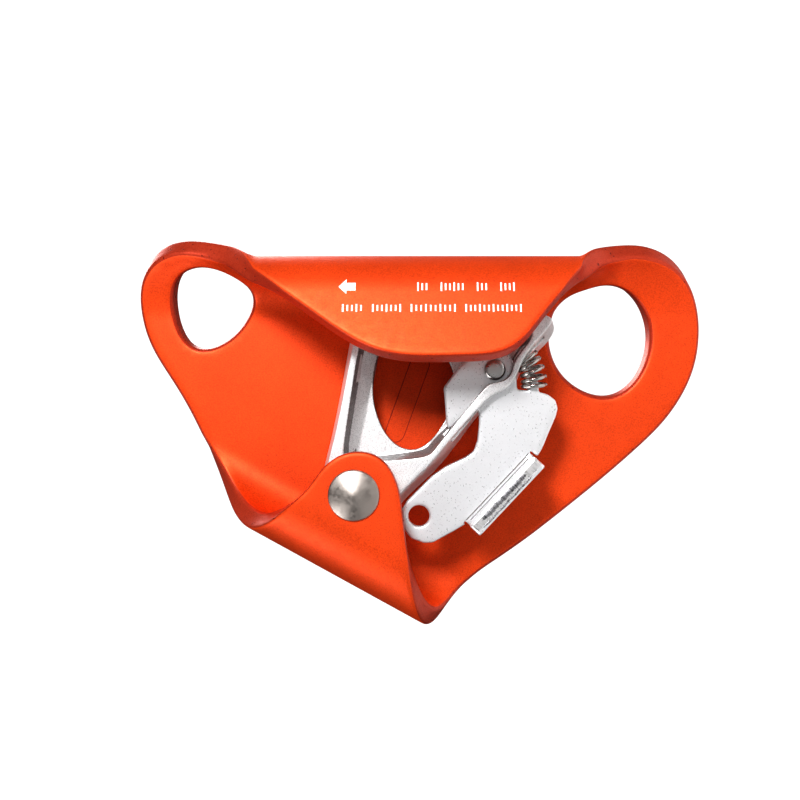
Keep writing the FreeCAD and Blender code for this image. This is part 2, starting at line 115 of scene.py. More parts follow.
def channel_radius(q):
    up = smooth((q - UPPER_FLARE[1]) / UPPER_FLARE[2])
    low = smooth((LOWER_FLARE[1] - q) / LOWER_FLARE[2])
    return (CHANNEL_RADIUS + (UPPER_FLARE[0] - CHANNEL_RADIUS) * up
            + (LOWER_FLARE[0] - CHANNEL_RADIUS) * low)


def plate_middle(q, s):
    """Flat pattern (q up the rope, s across) to the middle of the folded sheet; columns x, y, z in mm."""
    radius = channel_radius(q)
    angle = np.clip((s - CHANNEL_START) / radius, 0, CHANNEL_TURN)
    rest = np.maximum(s - CHANNEL_START - radius * CHANNEL_TURN, 0)
    rolled = s > CHANNEL_START
    x = np.where(rolled, CHANNEL_START + radius * np.sin(angle) + rest * math.cos(CHANNEL_TURN), s)
    y = np.where(rolled, -radius * (1 - np.cos(angle)) - rest * math.sin(CHANNEL_TURN), 0.0)
    w = (q - FOLD_Z) * ACROSS[0] + (s - FOLD_X) * ACROSS[1]
    turn = np.clip(w / FOLD_RADIUS, 0, math.pi)
    out = FOLD_RADIUS * np.sin(turn) - np.maximum(w - FOLD_RADIUS * math.pi, 0)
    ear = w > 0
    z = np.where(ear, q + (out - w) * ACROSS[0], q)
    x = np.where(ear, s + (out - w) * ACROSS[1], x)
    y = np.where(ear, -FOLD_RADIUS * (1 - np.cos(turn)), y)
    return np.stack([x, y, z], -1)


def plate_map(points):
    """Rows of q, s, height over the middle (front side positive) to folded positions in mm."""
    q, s, h = points.T
    step = 1e-3
    dq = plate_middle(q + step, s) - plate_middle(q - step, s)
    ds = plate_middle(q, s + step) - plate_middle(q, s - step)
    normal = np.cross(ds, dq)
    normal /= np.linalg.norm(normal, axis=1, keepdims=True)
    return plate_middle(q, s) + normal * h[:, None]


def from_fold(u, w):
    return (FOLD_Z + u * ALONG[0] + w * ACROSS[0], FOLD_X + u * ALONG[1] + w * ACROSS[1])


def closed_spline(points, spacing):
    """Closed cubic spline over control points, resampled at an even spacing."""
    p = np.array(points, float)
    t = np.linspace(0, 1, 24, endpoint=False)[:, None]
    basis = ((1 - t) ** 3 / 6, (3 * t ** 3 - 6 * t ** 2 + 4) / 6,
             (-3 * t ** 3 + 3 * t ** 2 + 3 * t + 1) / 6, t ** 3 / 6)
    dense = [sum(b * p[(i + k) % len(p)] for k, b in enumerate(basis)) for i in range(len(p))]
    return resample(np.concatenate(dense), spacing)


def resample(loop, spacing):
    closed = np.vstack([loop, loop[:1]])
    along = np.concatenate([[0], np.cumsum(np.hypot(*np.diff(closed, axis=0).T))])
    count = max(12, int(round(along[-1] / spacing)))
    at = np.linspace(0, along[-1], count, endpoint=False)
    return np.stack([np.interp(at, along, closed[:, k]) for k in (0, 1)], -1)


def area(loop):
    x, y = loop.T
    return 0.5 * float(np.sum(x * np.roll(y, -1) - np.roll(x, -1) * y))


def inside(points, loop):
    x, y = points.T
    result = np.zeros(len(points), bool)
    a = loop
    b = np.roll(loop, -1, axis=0)
    for (x0, y0), (x1, y1) in zip(a, b):
        if y0 == y1:
            continue
        crosses = (y0 > y) != (y1 > y)
        result ^= crosses & (x < (x1 - x0) * (y - y0) / (y1 - y0) + x0)
    return result


def near(points, loop, distance):
    """Points closer to the loop's vertices than distance."""
    result = np.zeros(len(points), bool)
    for start in range(0, len(loop), 64):
        part = loop[start:start + 64]
        d = ((points[:, None, :] - part[None]) ** 2).sum(-1).min(1)
        result |= d < distance * distance
    return result


def loop_normals(loop):
    """Unit normals that point into the material on the left of the loop's direction."""
    tangent = np.roll(loop, -1, axis=0) - np.roll(loop, 1, axis=0)
    tangent /= np.hypot(*tangent.T)[:, None]
    return np.stack([-tangent[:, 1], tangent[:, 0]], -1)


def edge_profile(thick, round_front, round_back, steps=4):
    """Rows of inset and height from the front face over the cut edge to the back face."""
    rows = []
    for i in range(steps + 1):
        a = math.pi / 2 * (1 - i / steps)
        rows.append((round_front * (1 - math.cos(a)), thick / 2 - round_front * (1 - math.sin(a))))
    high = thick / 2 - round_front
    low = -thick / 2 + round_back
    for i in (1, 2, 3):
        rows.append((0.0, high + (low - high) * i / 4))
    for i in range(steps + 1):
        a = math.pi / 2 * i / steps
        rows.append((round_back * (1 - math.cos(a)), -thick / 2 + round_back * (1 - math.sin(a))))
    return rows


def sheet_object(name, outline, holes, thick, rounds, spacing, mapping, materials,
                 cut_from=1, taper=0.0):
    """Sheet metal: a flat pattern with rounded cut edges, meshed evenly and folded by mapping.

    The first two holes narrow by taper towards the back, as a punch leaves them."""
    loops = [outline if area(outline) > 0 else outline[::-1]]
    loops += [h if area(h) < 0 else h[::-1] for h in holes]
    profile = edge_profile(thick, *rounds)
    inner = [loop + loop_normals(loop) * profile[0][0] for loop in loops]
    low = loops[0].min(0)
    high = loops[0].max(0)
    grid = []
    for row, b in enumerate(np.arange(low[1], high[1], spacing * 0.866)):
        a = np.arange(low[0] + (row % 2) * spacing / 2, high[0], spacing)
        grid.append(np.stack([a, np.full_like(a, b)], -1))
    grid = np.concatenate(grid)
    keep = inside(grid, inner[0])
    for hole in inner[1:]:
        keep &= ~inside(grid, hole)
    grid = grid[keep]
    for loop in inner:
        grid = grid[~near(grid, loop, spacing * 0.62)]
    flat = np.concatenate(inner + [grid])
    edges = []
    start = 0
    for loop in inner:
        n = len(loop)
        edges += [(start + i, start + (i + 1) % n) for i in range(n)]
        start += n
    found = delaunay_2d_cdt([Vector(p) for p in flat], edges, [], 0, 1e-6)
    points = np.array([tuple(p) for p in found[0]])
    tris = np.array(found[2])
    middle = points[tris].mean(1)
    keep = inside(middle, inner[0])
    for hole in inner[1:]:
        keep &= ~inside(middle, hole)
    tris = tris[keep]
    order = np.array([ids[0] for ids in found[3]])
    tris = order[tris]
    a, b, c = (flat[tris[:, k]] for k in range(3))
    turn = (b - a)[:, 0] * (c - a)[:, 1] - (b - a)[:, 1] * (c - a)[:, 0]
    tris[turn < 0] = tris[turn < 0][:, ::-1]
    count = len(flat)
    verts = [np.column_stack([flat, np.full(count, thick / 2)]),
             np.column_stack([flat, np.full(count, -thick / 2)])]
    faces = [tuple(t) for t in tris] + [tuple(t[::-1] + count) for t in tris]
    slots = [0] * len(faces)
    total = 2 * count
    start = 0
    for which, loop in enumerate(loops):
        n = len(loop)
        normal = loop_normals(loop)
        rings = [np.arange(n) + start]
        for inset, height in profile[1:-1]:
            if which in (1, 2):
                inset -= taper * (0.5 - height / thick)
            verts.append(np.column_stack([loop + normal * inset, np.full(n, height)]))
            rings.append(np.arange(n) + total)
            total += n
        rings.append(np.arange(n) + start + count)
        for k in range(len(rings) - 1):
            cut = cut_from <= k < len(rings) - 2 - cut_from
            for i in range(n):
                j = (i + 1) % n
                faces.append((rings[k][j], rings[k][i], rings[k + 1][i], rings[k + 1][j]))
                slots.append(1 if cut else 0)
        start += n
    placed = mapping(np.concatenate(verts)) * MM
    mesh = bpy.data.meshes.new(name)
    mesh.from_pydata([tuple(p) for p in placed], [], [tuple(int(i) for i in f) for f in faces])
    for material in materials:
        mesh.materials.append(material)
    mesh.polygons.foreach_set("material_index", slots)
    mesh.polygons.foreach_set("use_smooth", [True] * len(faces))
    mesh.update()
    face_outwards(mesh)
    return add(name, mesh)


def face_outwards(mesh):
    bm = bmesh.new()
    bm.from_mesh(mesh)
    bmesh.ops.recalc_face_normals(bm, faces=bm.faces)
    bm.to_mesh(mesh)
    bm.free()


def add(name, mesh):
    piece = bpy.data.objects.new(name, mesh)
    bpy.context.scene.collection.objects.link(piece)
    return piece


def circle(centre, radius, count):
    a = np.linspace(0, 2 * math.pi, count, endpoint=False)
    return np.stack([centre[0] + radius * np.cos(a), centre[1] + radius * np.sin(a)], -1)


# ---------------------------------------------------------------- materials
def new_material(name):
    material = bpy.data.materials.new(name)
    material.use_nodes = True
    tree = material.node_tree
    shader = tree.nodes["Principled BSDF"]
    return material, tree, shader


def noise(tree, scale, detail=4.0, rough=0.55, stretch=(1, 1, 1), turn=0.0):
    """Noise in object space; scale is per millimetre, turn is about the depth axis."""
    coord = tree.nodes.new("ShaderNodeTexCoord")
    mapping = tree.nodes.new("ShaderNodeMapping")
    mapping.inputs["Scale"].default_value = [s / MM * scale for s in stretch]
    if turn:
        first = tree.nodes.new("ShaderNodeMapping")
        first.inputs["Rotation"].default_value = (0, turn, 0)
        tree.links.new(coord.outputs["Object"], first.inputs["Vector"])
        coord = first
    texture = tree.nodes.new("ShaderNodeTexNoise")
    texture.inputs["Scale"].default_value = 1.0
    texture.inputs["Detail"].default_value = detail
    texture.inputs["Roughness"].default_value = rough
    tree.links.new(coord.outputs[0 if turn else "Object"], mapping.inputs["Vector"])
    tree.links.new(mapping.outputs["Vector"], texture.inputs["Vector"])
    return texture.outputs["Fac"]


def ramp(tree, value, stops):
    node = tree.nodes.new("ShaderNodeValToRGB")
    node.color_ramp.elements[0].position = stops[0][0]
    node.color_ramp.elements[0].color = (*stops[0][1], 1)
    node.color_ramp.elements[1].position = stops[-1][0]
    node.color_ramp.elements[1].color = (*stops[-1][1], 1)
    for position, colour in stops[1:-1]:
        node.color_ramp.elements.new(position).color = (*colour, 1)
    tree.links.new(value, node.inputs["Fac"])
    return node.outputs["Color"]


def spread(tree, value, low, high):
    node = tree.nodes.new("ShaderNodeMapRange")
    node.inputs["From Min"].default_value = 0.3
    node.inputs["From Max"].default_value = 0.7
    node.inputs["To Min"].default_value = low
    node.inputs["To Max"].default_value = high
    tree.links.new(value, node.inputs["Value"])
    return node.outputs["Result"]


def bump(tree, shader, value, depth_mm, strength=1.0, before=None):
    node = tree.nodes.new("ShaderNodeBump")
    node.inputs["Distance"].default_value = depth_mm * MM
    node.inputs["Strength"].default_value = strength
    tree.links.new(value, node.inputs["Height"])
    if before is not None:
        tree.links.new(before, node.inputs["Normal"])
    tree.links.new(node.outputs["Normal"], shader.inputs["Normal"])
    return node.outputs["Normal"]


def anodised(name, tone, roughness, grain, metallic, pits=0.0):
    """Bead-blasted aluminium under a coloured anodised layer; pits are open pores in a cut face."""
    material, tree, shader = new_material(name)
    low = tuple(c * 0.90 for c in tone)
    patches = ramp(tree, noise(tree, 0.09, 3.0), [(0.35, low), (0.65, tone)])
    fine = noise(tree, 3.6, 3.0, 0.7)
    grain_tone = ramp(tree, fine, [(0.30, (0.74, 0.62, 0.58)), (0.50, (1.0, 1.0, 1.0)),
                                   (0.72, (1.10, 1.22, 1.3))])
    colour = multiply(tree, patches, grain_tone)
    height = fine
    if pits:
        pores = noise(tree, 1.3, 2.0, 0.4)
        dark = ramp(tree, pores, [(0.69, (1.0, 1.0, 1.0)), (0.73, (0.32, 0.25, 0.25))])
        colour = multiply(tree, colour, dark)
        height = dark
    tree.links.new(colour, shader.inputs["Base Color"])
    shader.inputs["Metallic"].default_value = metallic
    shader.inputs["Specular IOR Level"].default_value = 0.30
    tree.links.new(spread(tree, noise(tree, 0.7, 3.0), roughness - 0.04, roughness + 0.05),
                   shader.inputs["Roughness"])
    first = bump(tree, shader, height, grain + pits)
    bump(tree, shader, noise(tree, 0.22, 2.0), grain * 3.0, 0.6, first)
    return material


def multiply(tree, first, second):
    node = tree.nodes.new("ShaderNodeMix")
    node.data_type = "RGBA"
    node.blend_type = "MULTIPLY"
    node.inputs[0].default_value = 1.0
    tree.links.new(first, node.inputs[6])
    tree.links.new(second, node.inputs[7])
    return node.outputs[2]


def metal(name, tone, roughness, scale, depth, wave=0.0, speck=0.0, stretch=(1, 1, 1), turn=0.0,
          metallic=1.0):
    """Bare or plated metal; speck darkens its grain, wave is a slow unevenness in mm."""
    material, tree, shader = new_material(name)
    dark = tuple(c * (1 - speck) for c in tone)
    grain = noise(tree, scale, 3.0, 0.55, stretch, turn)
    tree.links.new(ramp(tree, grain, [(0.35, dark), (0.52, tone)]), shader.inputs["Base Color"])
    shader.inputs["Metallic"].default_value = metallic
    tree.links.new(spread(tree, noise(tree, scale * 0.4, 3.0), roughness * 0.8, roughness * 1.25),
                   shader.inputs["Roughness"])
    fine = bump(tree, shader, grain, depth)
    if wave:
        bump(tree, shader, noise(tree, 0.35, 2.0), wave, 1.0, fine)
    return material


ORANGE = (0.80, 0.068, 0.006)
PLATE_FACE = anodised("plate_anodised", ORANGE, 0.47, 0.012, 0.40)
PLATE_EDGE = anodised("plate_cut_edge", (0.52, 0.050, 0.018), 0.42, 0.02, 0.45, 0.08)
CAM_CAST = metal("cam_cast", (0.86, 0.855, 0.86), 0.42, 4.2, 0.03, 0.05, 0.30, metallic=0.55)
# Dark grey for the cam's walls inside recesses and slots: painted shade where the light does not reach.
CAM_RECESS_SHADE = metal("cam_recess_painted_shade", (0.26, 0.245, 0.245), 0.50, 3.4, 0.06, 0.05, 0.60, metallic=0.4)
CATCH_SKIN = metal("catch_plated", (0.81, 0.81, 0.825), 0.32, 6.0, 0.012, 0.03, 0.035, metallic=0.55)
TAB_STREAKS = (1, 0.3, 0.25)
TAB_ANGLE = math.radians(-46.7)
CATCH_CUT = metal("catch_sheared", (0.72, 0.71, 0.71), 0.30, 3.0, 0.03, 0.0, 0.25, TAB_STREAKS,
                  TAB_ANGLE, 0.7)
CATCH_TORN = metal("catch_fracture", (0.30, 0.295, 0.31), 0.34, 3.2, 0.10, 0.0, 0.80, TAB_STREAKS,
                   TAB_ANGLE, 0.8)
# Near-black for the two fine grooves beside the bend's ridge: painted shade.
CATCH_GROOVE_SHADE = metal("catch_bend_groove_painted_shade", (0.10, 0.085, 0.085), 0.50, 3.0, 0.02, metallic=0.3)
PIN_STEEL = metal("pin_satin", (0.52, 0.50, 0.49), 0.30, 3.0, 0.01)
RIVET_STEEL = metal("rivet_turned", (0.41, 0.365, 0.335), 0.42, 3.0, 0.003)
SPRING_STEEL = metal("spring_wire", (0.46, 0.44, 0.42), 0.20, 3.0, 0.01)
PRINT_WHITE, print_tree, print_shader = new_material("print_white")
print_tone = ramp(print_tree, noise(print_tree, 2.5, 3.0), [(0.3, (0.80, 0.80, 0.79)),
                                                            (0.6, (0.90, 0.90, 0.89))])
print_tree.links.new(print_tone, print_shader.inputs["Base Color"])
print_shader.inputs["Roughness"].default_value = 0.55


# ---------------------------------------------------------------- body plate
main_edge = LOWER_EDGE + LOWER_RING + CHANNEL_LIP + UPPER_RING + UPPER_EDGE
outline = closed_spline(main_edge + [from_fold(*p) for p in EAR_EDGE], 0.75)
pivot_w = (PIVOT[0] - FOLD_Z) * ACROSS[0] + (PIVOT[1] - FOLD_X) * ACROSS[1]
pivot_u = (PIVOT[0] - FOLD_Z) * ALONG[0] + (PIVOT[1] - FOLD_X) * ALONG[1]
ear_pivot = from_fold(pivot_u, FOLD_RADIUS * math.pi - pivot_w)


plate_holes = [closed_spline(UPPER_HOLE, 0.7), closed_spline(LOWER_HOLE, 0.7),
               circle(PIVOT, RIVET_HOLE, 24), circle(ear_pivot, RIVET_HOLE, 24)]
plate = sheet_object("body_plate_shell", outline, plate_holes, SHEET, (0.9, 0.6), 1.0, plate_map,
                     [PLATE_FACE, PLATE_EDGE], 1, 0.5)
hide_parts("body_plate")
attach(plate, "frame")

# ---------------------------------------------------------------- printed marks on the channel lip
def print_mark(name, shapes):
    """Thin white print on the outside of the rolled lip; shapes are closed outlines of q and s."""
    flat = bmesh.new()
    for shape in shapes:
        flat.faces.new([flat.verts.new((q, s, 0)) for q, s in shape])
    for cut in np.arange(29.0, 38.0, 0.35):
        bmesh.ops.bisect_plane(flat, geom=flat.verts[:] + flat.edges[:] + flat.faces[:],
                               plane_co=(0, cut, 0), plane_no=(0, 1, 0))
    lie = np.array([(v.co.x, v.co.y, -SHEET / 2 - PRINT_LIFT) for v in flat.verts])
    for vert, place in zip(flat.verts, plate_map(lie) * MM):
        vert.co = place
    mesh = bpy.data.meshes.new(name)
    flat.to_mesh(mesh)
    flat.free()
    mesh.materials.append(PRINT_WHITE)
    piece = add(name, mesh)
    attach(piece, "frame")


def block(q0, q1, s0, s1):
    return [(q0, s0), (q1, s0), (q1, s1), (q0, s1)]


print_mark("direction_arrow", [[(51.1, 31.2), (49.6, 29.8), (49.6, 32.6)],
                               block(47.9, 49.6, 30.5, 31.9)])


def tick_row(name, middle, groups):
    """A row of plain ticks in groups, each group a start, a number and a spacing."""
    ticks = []
    for start, count, spacing in groups:
        for i in range(count):
            q = start - i * spacing
            tall = 0.62 if i % 3 else 0.8
            ticks.append(block(q - 0.16, q + 0.16, middle - tall, middle + tall))
    print_mark(name, ticks)


tick_row("plain_ticks_upper", 31.2, [(36.2, 3, 0.8), (31.8, 6, 0.8), (25.0, 3, 0.8), (20.6, 4, 0.8)])
tick_row("plain_ticks_lower", 35.5, [(50.2, 5, 0.85), (44.6, 7, 0.85), (37.4, 10, 0.9), (27.2, 13, 0.85)])


def scribed_obround(name, first, last, radius, width):
    """A fine scribed line round a slot shape on the flat of the plate, drawn as a thin dark strip just
    above it: painted shade of the groove.
    """
    first, last = np.array(first), np.array(last)
    along = (last - first) / np.hypot(*(last - first))
    across = np.array((-along[1], along[0]))
    path = []
    for centre, turn in ((last, 0.0), (first, math.pi)):
        for k in range(17):
            a = turn + math.pi / 2 - math.pi * k / 16
            path.append(centre + radius * (along * math.cos(a) + across * math.sin(a)))
    path = resample(np.array(path), 0.4)
    normal = loop_normals(path)
    n = len(path)
    rows = [path + normal * width / 2, path - normal * width / 2]
    height = np.full(2 * n, SHEET / 2 + SCRIBE_LIFT)
    verts = plate_map(np.column_stack([np.concatenate(rows), height])) * MM
    faces = [(i, (i + 1) % n, n + (i + 1) % n, n + i) for i in range(n)]
    mesh = bpy.data.meshes.new(name)
    mesh.from_pydata([tuple(p) for p in verts], [], faces)
    mesh.materials.append(SCRIBE_SHADE)
    mesh.update()
    piece = add(name, mesh)
    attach(piece, "frame")


# Near-black red for the scribed line: painted shade of the fine groove, not a colour of the plate.
SCRIBE_SHADE = anodised("scribed_line_painted_shade", (0.30, 0.014, 0.002), 0.55, 0.02, 0.3)
scribed_obround("scribed_slot_mark", (36.0, -4.5), (41.0, -18.3), 1.94, 0.16)

# ---------------------------------------------------------------- catch: stamped sheet with a thumb tab
CATCH_MID = 9.2
TAB_START = np.array((26.9, -35.5))
TAB_END = np.array((14.4, -22.2))
TAB_LENGTH = float(np.hypot(*(TAB_END - TAB_START)))
TAB_DIR = (TAB_END - TAB_START) / TAB_LENGTH
TAB_OUT = np.array((TAB_DIR[1], -TAB_DIR[0]))
if TAB_OUT[1] > 0:
    TAB_OUT = -TAB_OUT
TAB_BEND = 2.0
TAB_RISE = 3.7
CATCH_THICK = 2.4


def tab_point(u, w):
    return tuple(TAB_START + TAB_DIR * u + TAB_OUT * w)


def rounded(corners, steps=5):
    """Closed loop through corners (a, b, radius) with each corner rounded."""
    loop = []
    n = len(corners)
    for i in range(n):
        p = np.array(corners[i][:2], float)
        before = np.array(corners[i - 1][:2], float) - p
        after = np.array(corners[(i + 1) % n][:2], float) - p
        la, lb = np.hypot(*before), np.hypot(*after)
        before, after = before / la, after / lb
        half = math.acos(max(-1, min(1, float(before @ after)))) / 2
        reach = min(corners[i][2] / max(math.tan(half), 1e-3), 0.48 * la, 0.48 * lb)
        a, b = p + before * reach, p + after * reach
        for k in range(steps + 1):
            t = k / steps
            loop.append((1 - t) ** 2 * a + 2 * t * (1 - t) * p + t * t * b)
    return np.array(loop)


def catch_map(points):
    z, x, h = points.T
    u = (z - TAB_START[0]) * TAB_DIR[0] + (x - TAB_START[1]) * TAB_DIR[1]
    w = (z - TAB_START[0]) * TAB_OUT[0] + (x - TAB_START[1]) * TAB_OUT[1]
    tab = (w > 0) & (u > -0.2) & (u < TAB_LENGTH + 0.2)
    h = np.where(tab, h * (1 + 0.15 * smooth(w / 3)), h)
    angle = np.where(tab, np.clip(w / TAB_BEND, 0, math.pi / 2), 0)
    rest = np.where(tab, np.maximum(w - TAB_BEND * math.pi / 2, 0), 0)
    out = np.where(tab, (TAB_BEND - h) * np.sin(angle), w)
    depth = np.where(tab, TAB_BEND - (TAB_BEND - h) * np.cos(angle) + rest, h)
    z2 = TAB_START[0] + TAB_DIR[0] * u + TAB_OUT[0] * out
    x2 = TAB_START[1] + TAB_DIR[1] * u + TAB_OUT[1] * out
    return np.stack([x2, -FRONT - CATCH_MID - depth, z2], -1)


CATCH_EDGE = [(31.3, -9.3, 1.2), (30.6, -18.0, 0.8), (27.2, -14.6, 1.0), (24.4, -13.2, 1.0),
              (24.4, -16.3, 1), (24.7, -19.6, 2), (25.4, -21.7, 2), (27.0, -22.9, 2), (31.0, -24.8, 4),
              (33.6, -26.6, 4), (36.4, -29.4, 4), (38.4, -31.4, 2), (39.7, -33.6, 2), (39.3, -36.6, 2),
              (37.6, -38.7, 2), (35.1, -39.6, 2), (33.4, -39.5, 2), (31.6, -38.5, 2), (29.4, -37.3, 2)]
TAB_FLAT = TAB_BEND * math.pi / 2 + TAB_RISE
CATCH_EDGE += [(*tab_point(-0.45, 0.15), 0.3), (*tab_point(-0.4, -0.3), 0.15), (*tab_point(0, -0.3), 0.15),
               (*tab_point(0, TAB_FLAT), 0.8), (*tab_point(TAB_LENGTH, TAB_FLAT), 0.8),
               (*tab_point(TAB_LENGTH, -0.3), 0.15), (*tab_point(TAB_LENGTH + 0.4, -0.3), 0.15),
               (*tab_point(TAB_LENGTH + 0.45, 1.4), 0.5)]
CATCH_EDGE += [(12.0, -20.9, 1.5), (10.9, -18.2, 2), (9.5, -15.0, 1.5), (9.1, -13.4, 1.5),
               (9.6, -11.8, 1.5), (11.1, -10.7, 1), (12.8, -10.2, 0.3), (12.9, -8.2, 0.5),
               (14.4, -7.8, 0.5), (14.8, -9.9, 0.3), (17.0, -9.8, 0.5), (17.2, -5.9, 3), (18.4, -2.9, 2),
               (21.4, -1.7, 2), (24.6, -2.4, 2), (28.4, -5.4, 1)]
catch_outline = resample(rounded(CATCH_EDGE), 0.35)
catch = sheet_object("catch_blade", catch_outline,
                     [circle(CATCH_PIN, CATCH_BORE, 28), circle(CORD_HOLE, CORD_HOLE_RADIUS, 36)],
                     CATCH_THICK, (0.45, 0.3), 0.7, catch_map, [CATCH_SKIN, CATCH_CUT], 4)
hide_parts("catch")
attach(catch, "catch")


def ripple(a, b):
    """Uneven height between 0 and 1 for a torn face, streaked across its length."""
    fine = math.sin(a * 17.3 + 1.7 * math.sin(a * 5.1)) + 0.7 * math.sin(a * 29.7 + 2.0 * b)
    return 0.5 + 0.22 * fine + 0.12 * math.sin(b * 9.0 + a * 3.1)


def torn_band(name, first, last, middle, half):
    """Rough fracture band let into the end of the tab, between u first and last."""
    across = 9
    count = int((last - first) / 0.09)
    verts = []
    for i in range(count + 1):
        u = first + (last - first) * i / count
        fade = min(1.0, (u - first) / 1.6, (last - u) / 1.6)
        for j in range(across):
            b = 2 * j / (across - 1) - 1
            wander = 0.05 * math.sin(u * 1.9 + middle * 4)
            ragged = 0.9 + 0.12 * math.sin(u * 6.1) + 0.12 * math.sin(u * 14.7)
            h = middle + wander + half * b * (0.45 + 0.55 * fade) * ragged
            rise = (1 - b * b) * (0.04 + 0.16 * ripple(u, b)) * fade - 0.03
            flat = TAB_START + TAB_DIR * u + TAB_OUT * (TAB_BEND - h * 1.15)
            top = -FRONT - CATCH_MID - TAB_BEND - TAB_RISE - rise
            verts.append((flat[1] * MM, top * MM, flat[0] * MM))
    faces = []
    for i in range(count):
        for j in range(across - 1):
            k = i * across + j
            faces.append((k, k + 1, k + across + 1, k + across))
    mesh = bpy.data.meshes.new(name)
    mesh.from_pydata(verts, [], faces)
    mesh.materials.append(CATCH_TORN)
    mesh.polygons.foreach_set("use_smooth", [True] * len(faces))
    mesh.update()
    thick = add(name, mesh)
    solid = thick.modifiers.new("solid", "SOLIDIFY")
    solid.thickness = 0.3 * MM
    solid.offset = -1 if mesh.polygons[0].normal.y < 0 else 1
    bpy.context.view_layer.update()
    depsgraph = bpy.context.evaluated_depsgraph_get()
    thick.data = bpy.data.meshes.new_from_object(thick.evaluated_get(depsgraph))
    thick.modifiers.clear()
    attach(thick, "catch")


torn_band("catch_tab_torn_main", 2.2, TAB_LENGTH - 3.2, 0.30, 0.52)
torn_band("catch_tab_torn_edge", 1.2, TAB_LENGTH - 2.6, -0.66, 0.22)


def crease_bead():
    """Ridge that the bend pushes up along the foot of the tab, between its two fine grooves, whose faces
    carry a near-black material as painted shade.
    """
    section = [(-0.42, -0.10), (-0.39, 0.03), (-0.19, 0.03), (-0.15, 0.09), (-0.04, 0.17), (0.10, 0.18),
               (0.20, 0.14), (0.23, 0.10), (0.39, 0.18), (0.42, -0.10)]
    sides = len(section)
    # Sides 1 and 7 of the section are the grooves; they get the painted-shade material.
    dark = (1, 7)
    count = 40
    verts = []
    for i in range(count + 1):
        u = 0.3 + (TAB_LENGTH - 0.6) * i / count
        swell = min(1.0, 0.3 + i / 3, 0.3 + (count - i) / 3)
        for out, rise in section:
            flat = TAB_START + TAB_DIR * u + TAB_OUT * out
            verts.append((flat[1] * MM, (-FRONT - CATCH_MID - 1.2 - rise * swell) * MM, flat[0] * MM))
    faces = [tuple(range(sides)), tuple(reversed(range(count * sides, (count + 1) * sides)))]
    for i in range(count):
        for j in range(sides):
            k = (j + 1) % sides
            faces.append((i * sides + j, i * sides + k, (i + 1) * sides + k, (i + 1) * sides + j))
    mesh = bpy.data.meshes.new("catch_bend_bead")
    mesh.from_pydata(verts, [], faces)
    mesh.materials.append(CATCH_SKIN)
    mesh.materials.append(CATCH_GROOVE_SHADE)
    around = [int(j in dark) for j in range(sides)]
    mesh.polygons.foreach_set("material_index", [0, 0] + around * count)
    mesh.update()
    face_outwards(mesh)
    piece = add("catch_bend_bead", mesh)
    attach(piece, "catch")


crease_bead()


# ---------------------------------------------------------------- cam: the casting, with softened edges
def recess_shade_faces(mesh):
    """1 for each face that gets the dark painted-shade material, 0 for the rest.

    These are the steep walls that look across a recess, and the insides of the narrow slots, darkened as
    painted shade."""
    tree = BVHTree.FromPolygons([v.co for v in mesh.vertices], [tuple(p.vertices) for p in mesh.polygons])
    result = [0] * len(mesh.polygons)
    for face in mesh.polygons:
        start = face.center + face.normal * (0.05 * MM)
        if abs(face.normal.y) > 0.50:
            rays = [(face.normal, 3.2)]
        else:
            across = Vector((face.normal.x, 0, face.normal.z)).normalized()
            rays = [(Matrix.Rotation(turn, 3, "Y") @ across, 30) for turn in (0.0, 0.4, -0.4)]
        if any(tree.ray_cast(start, ray, reach * MM)[0] is not None for ray, reach in rays):
            result[face.index] = 1
    return result


def cast_copy(node, name, voxel_mm, rounds, material, wall):
    """A casting made from a CAD node's shape, with its sharp edges softened."""
    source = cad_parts[node]
    depsgraph = bpy.context.evaluated_depsgraph_get()
    mesh = bpy.data.meshes.new_from_object(source.evaluated_get(depsgraph))
    mesh.transform(source.matrix_world)
    mesh.materials.clear()
    piece = add(name, mesh)
    remesh = piece.modifiers.new("cast", "REMESH")
    remesh.mode = "VOXEL"
    remesh.voxel_size = voxel_mm * MM
    soften = piece.modifiers.new("soften", "SMOOTH")
    soften.factor = 0.5
    soften.iterations = rounds
    bpy.context.view_layer.update()
    depsgraph = bpy.context.evaluated_depsgraph_get()
    final = bpy.data.meshes.new_from_object(piece.evaluated_get(depsgraph))
    piece.modifiers.clear()
    piece.data = final
    final.materials.clear()
    final.materials.append(material)
    final.materials.append(wall)
    final.polygons.foreach_set("use_smooth", [True] * len(final.polygons))
    # The second material, painted shade, goes on the faces that look into a recess.
    final.polygons.foreach_set("material_index", recess_shade_faces(final))
    final.update()
    return piece


cam = cast_copy("cam", "cam_casting", 0.16, 2, CAM_CAST, CAM_RECESS_SHADE)
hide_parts("cam")
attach(cam, "cam")


# ---------------------------------------------------------------- turned pieces
def turned(name, centre, profile, material, node, body, count=72):
    """Solid of revolution about the depth axis; profile rows are radius, depth in front of the plate."""
    verts = []
    faces = []
    for radius, depth in profile:
        for i in range(count):
            a = 2 * math.pi * i / count
            verts.append(((centre[1] + radius * math.cos(a)) * MM, (-FRONT - depth) * MM,
                          (centre[0] + radius * math.sin(a)) * MM))
    for k in range(len(profile) - 1):
        for i in range(count):
            j = (i + 1) % count
            faces.append((k * count + i, k * count + j, (k + 1) * count + j, (k + 1) * count + i))
    faces.append(tuple(range(count)))
    faces.append(tuple(reversed(range((len(profile) - 1) * count, len(profile) * count))))
    mesh = bpy.data.meshes.new(name)
    mesh.from_pydata(verts, [], faces)
    mesh.materials.append(material)
    mesh.polygons.foreach_set("use_smooth", [len(p.vertices) == 4 for p in mesh.polygons])
    mesh.update()
    face_outwards(mesh)
    piece = add(name, mesh)
    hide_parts(node)
    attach(piece, body)
    return piece


